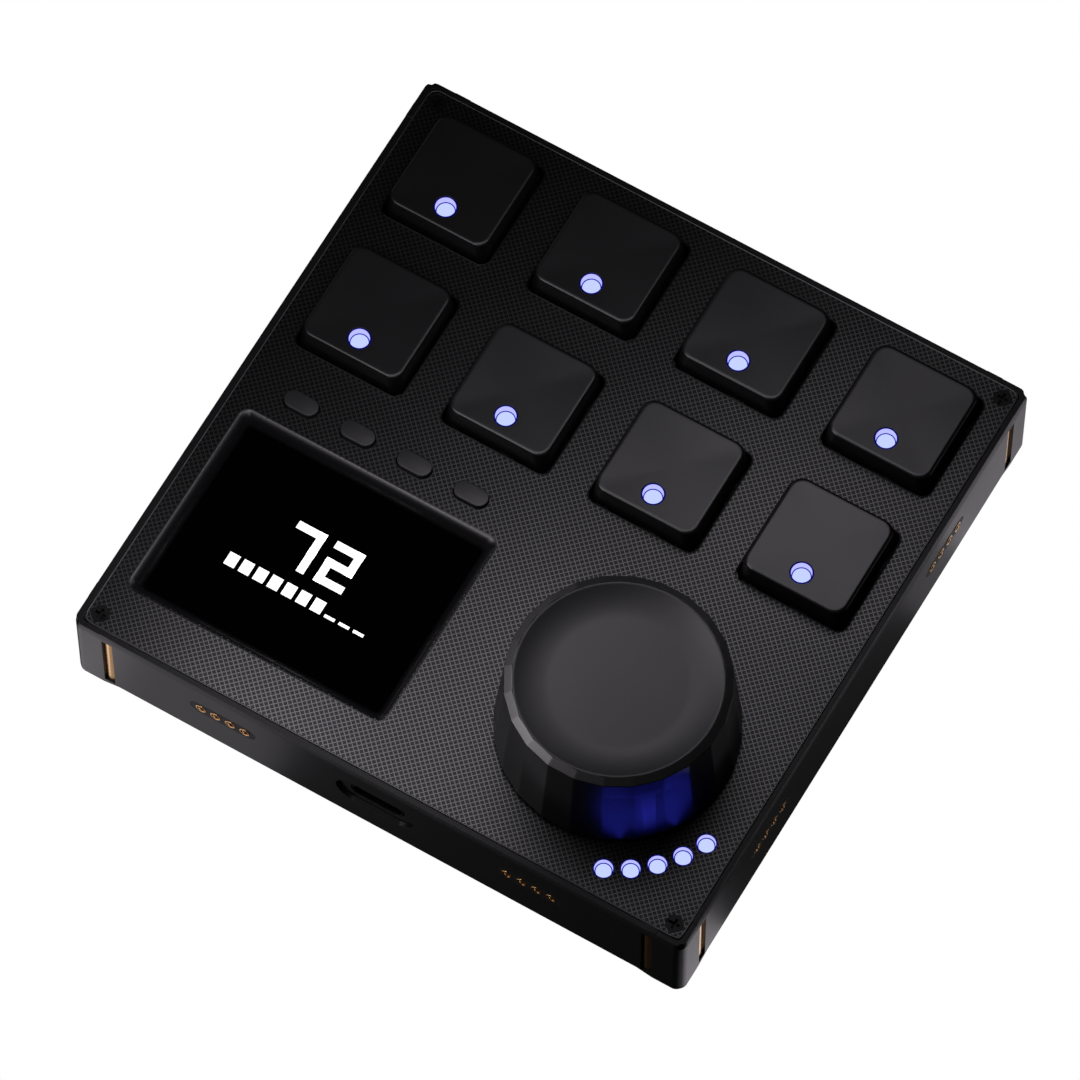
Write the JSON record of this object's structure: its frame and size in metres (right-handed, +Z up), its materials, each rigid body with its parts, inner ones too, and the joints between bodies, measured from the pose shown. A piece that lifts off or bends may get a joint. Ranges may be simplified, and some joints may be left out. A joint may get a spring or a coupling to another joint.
{
  "type": "macro keypad with knob",
  "caption": "Square desktop macro keypad with low sprung keys, a small screen with pill buttons, a push knob beside an arc of lamps, side contacts and corner magnets.",
  "frame": {"origin": "centre of the case on the surface that the feet stand on", "axes": "+X along the key rows to the knob's side, +Y to the back, where the keys are, +Z up"},
  "size_m": [0.106, 0.1054, 0.0355],
  "materials": {
    "case": "satin",
    "cover": "matte",
    "plate": "fine diagonal ridges",
    "keycaps": "satin",
    "stems": "smooth",
    "springs": "drawn wire",
    "lamp": "clear, lit from below",
    "knob": "satin facets",
    "screen": "polished",
    "module": "matte",
    "board": "varnished",
    "switches": "matte",
    "pills": "satin",
    "steel": "turned",
    "screws": "black zinc",
    "rubber": "matte",
    "contacts": "gold plated",
    "insulator": "matte",
    "strip": "matte"
  },
  "bodies": {
    "case": {"side_frame": "case", "bottom_cover": "cover", "rubber_feet": "rubber", "case_screws": "screws", "top_plate": "plate", "side_strip": "strip", "main_board": "board", "switch_housings": "switches", "tact_switches": "switches", "display_glass": "screen", "display_panel": "module", "encoder_body": "steel", "lamp_pipes": "lamp", "contact_blocks": "insulator", "contact_metal": "contacts", "magnet_rods": "contacts", "port_shell": "steel", "port_tongue": "insulator"},
    "knob": {"knob_skirt": "knob", "knob_cap": "knob", "encoder_shaft": "steel"},
    "knob_press": {"encoder_pusher": "stems"},
    "front_pins": {"front_contact_pins": "contacts"},
    "right_pins": {"right_contact_pins": "contacts"},
    "key_1": {"keycap_1": "keycaps", "key_stem_1": "stems", "key_spring_1": "springs", "key_lens_1": "lamp"},
    "key_2": {"keycap_2": "keycaps", "key_stem_2": "stems", "key_spring_2": "springs", "key_lens_2": "lamp"},
    "key_3": {"keycap_3": "keycaps", "key_stem_3": "stems", "key_spring_3": "springs", "key_lens_3": "lamp"},
    "key_4": {"keycap_4": "keycaps", "key_stem_4": "stems", "key_spring_4": "springs", "key_lens_4": "lamp"},
    "key_5": {"keycap_5": "keycaps", "key_stem_5": "stems", "key_spring_5": "springs", "key_lens_5": "lamp"},
    "key_6": {"keycap_6": "keycaps", "key_stem_6": "stems", "key_spring_6": "springs", "key_lens_6": "lamp"},
    "key_7": {"keycap_7": "keycaps", "key_stem_7": "stems", "key_spring_7": "springs", "key_lens_7": "lamp"},
    "key_8": {"keycap_8": "keycaps", "key_stem_8": "stems", "key_spring_8": "springs", "key_lens_8": "lamp"},
    "button_1": {"pill_button_1": "pills"},
    "button_2": {"pill_button_2": "pills"},
    "button_3": {"pill_button_3": "pills"},
    "button_4": {"pill_button_4": "pills"}
  },
  "joints": [
    {"name": "key_1_press", "type": "slide", "parent": "case", "child": "key_1", "axis": [0, 0, -1], "range_m": [0, 0.003], "stiffness_N_per_m": 160, "springref_m": -0.0015, "deforming": ["key_spring_1"]},
    {"name": "key_2_press", "type": "slide", "parent": "case", "child": "key_2", "axis": [0, 0, -1], "range_m": [0, 0.003], "stiffness_N_per_m": 160, "springref_m": -0.0015, "deforming": ["key_spring_2"]},
    {"name": "key_3_press", "type": "slide", "parent": "case", "child": "key_3", "axis": [0, 0, -1], "range_m": [0, 0.003], "stiffness_N_per_m": 160, "springref_m": -0.0015, "deforming": ["key_spring_3"]},
    {"name": "key_4_press", "type": "slide", "parent": "case", "child": "key_4", "axis": [0, 0, -1], "range_m": [0, 0.003], "stiffness_N_per_m": 160, "springref_m": -0.0015, "deforming": ["key_spring_4"]},
    {"name": "key_5_press", "type": "slide", "parent": "case", "child": "key_5", "axis": [0, 0, -1], "range_m": [0, 0.003], "stiffness_N_per_m": 160, "springref_m": -0.0015, "deforming": ["key_spring_5"]},
    {"name": "key_6_press", "type": "slide", "parent": "case", "child": "key_6", "axis": [0, 0, -1], "range_m": [0, 0.003], "stiffness_N_per_m": 160, "springref_m": -0.0015, "deforming": ["key_spring_6"]},
    {"name": "key_7_press", "type": "slide", "parent": "case", "child": "key_7", "axis": [0, 0, -1], "range_m": [0, 0.003], "stiffness_N_per_m": 160, "springref_m": -0.0015, "deforming": ["key_spring_7"]},
    {"name": "key_8_press", "type": "slide", "parent": "case", "child": "key_8", "axis": [0, 0, -1], "range_m": [0, 0.003], "stiffness_N_per_m": 160, "springref_m": -0.0015, "deforming": ["key_spring_8"]},
    {"name": "button_1_press", "type": "slide", "parent": "case", "child": "button_1", "axis": [0, 0, -1], "range_m": [0, 0.00025], "stiffness_N_per_m": 1600, "springref_m": -0.0005},
    {"name": "button_2_press", "type": "slide", "parent": "case", "child": "button_2", "axis": [0, 0, -1], "range_m": [0, 0.00025], "stiffness_N_per_m": 1600, "springref_m": -0.0005},
    {"name": "button_3_press", "type": "slide", "parent": "case", "child": "button_3", "axis": [0, 0, -1], "range_m": [0, 0.00025], "stiffness_N_per_m": 1600, "springref_m": -0.0005},
    {"name": "button_4_press", "type": "slide", "parent": "case", "child": "button_4", "axis": [0, 0, -1], "range_m": [0, 0.00025], "stiffness_N_per_m": 1600, "springref_m": -0.0005},
    {"name": "knob_push", "type": "slide", "parent": "case", "child": "knob_press", "axis": [0, 0, -1], "range_m": [0, 0.0005], "stiffness_N_per_m": 2400, "springref_m": -0.0008},
    {"name": "knob_turn", "type": "hinge", "parent": "knob_press", "child": "knob", "pos_m": [0.0265, -0.0265, 0.0175], "axis": [0, 0, 1], "continuous": true},
    {"name": "front_pins_push", "type": "slide", "parent": "case", "child": "front_pins", "axis": [0, 1, 0], "range_m": [0, 0.0004], "stiffness_N_per_m": 1200, "springref_m": -0.0005},
    {"name": "right_pins_push", "type": "slide", "parent": "case", "child": "right_pins", "axis": [-1, 0, 0], "range_m": [0, 0.0004], "stiffness_N_per_m": 1200, "springref_m": -0.0005}
  ]
}
